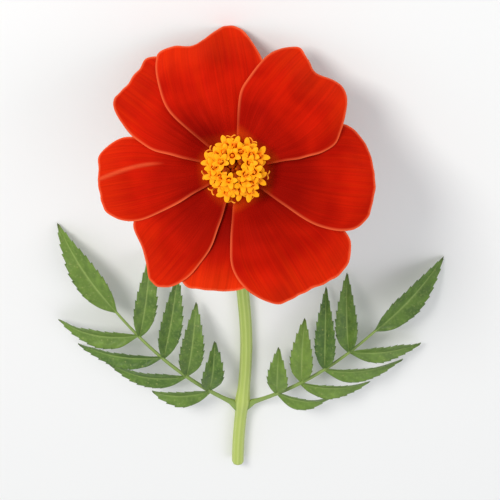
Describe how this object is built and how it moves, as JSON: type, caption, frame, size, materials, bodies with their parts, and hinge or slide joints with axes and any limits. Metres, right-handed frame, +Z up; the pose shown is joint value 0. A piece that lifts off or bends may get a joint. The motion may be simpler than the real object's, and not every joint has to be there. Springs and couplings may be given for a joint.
{
  "type": "marigold flower",
  "caption": "Picked marigold laid on its side: overlapping red ray petals round a raised disc of tube florets, on a ribbed green cup, a curved stem with feathered leaves.",
  "frame": {"origin": "middle of the flower's box, on the surface that it lies on", "axes": "+Z up; +Y along the stem from its cut end to the head; +X to the right of the head as its face is seen with the stem pointing down"},
  "size_m": [0.0724, 0.1004, 0.0347],
  "materials": {
    "petal": "velvety petal tissue, scarlet, darker towards the disc, with a fine pale margin and faint veins",
    "open_floret": "soft matte floret tissue, yellow-orange",
    "closed_floret": "soft matte floret tissue, red-brown, unopened",
    "involucre": "smooth green bract tissue with pale ribs and fine gland streaks",
    "stem": "smooth fresh green stem, finely ridged",
    "leaf": "soft green leaf, matte, with a paler midrib and side veins"
  },
  "bodies": {
    "root": {"stem": "stem", "involucre": "involucre", "petal_1": "petal", "petal_2": "petal", "petal_3": "petal", "petal_4": "petal", "petal_5": "petal", "petal_6": "petal", "petal_7": "petal", "petal_8": "petal", "floret_01": "closed_floret", "floret_02": "closed_floret", "floret_03": "closed_floret", "floret_04": "closed_floret", "floret_05": "closed_floret", "floret_06": "open_floret", "floret_07": "open_floret", "floret_08": "open_floret", "floret_09": "open_floret", "floret_10": "open_floret", "floret_11": "open_floret", "floret_12": "open_floret", "floret_13": "open_floret", "floret_14": "open_floret", "floret_15": "open_floret", "floret_16": "open_floret", "floret_17": "open_floret", "floret_18": "open_floret", "floret_19": "open_floret", "floret_20": "open_floret", "floret_21": "open_floret", "floret_22": "open_floret", "floret_23": "open_floret", "floret_24": "open_floret", "floret_25": "open_floret", "floret_26": "open_floret", "floret_27": "open_floret", "floret_28": "open_floret", "floret_29": "open_floret", "floret_30": "open_floret", "floret_31": "open_floret", "floret_32": "open_floret", "leaf_left": "leaf", "leaf_right": "leaf"}
  },
  "joints": []
}
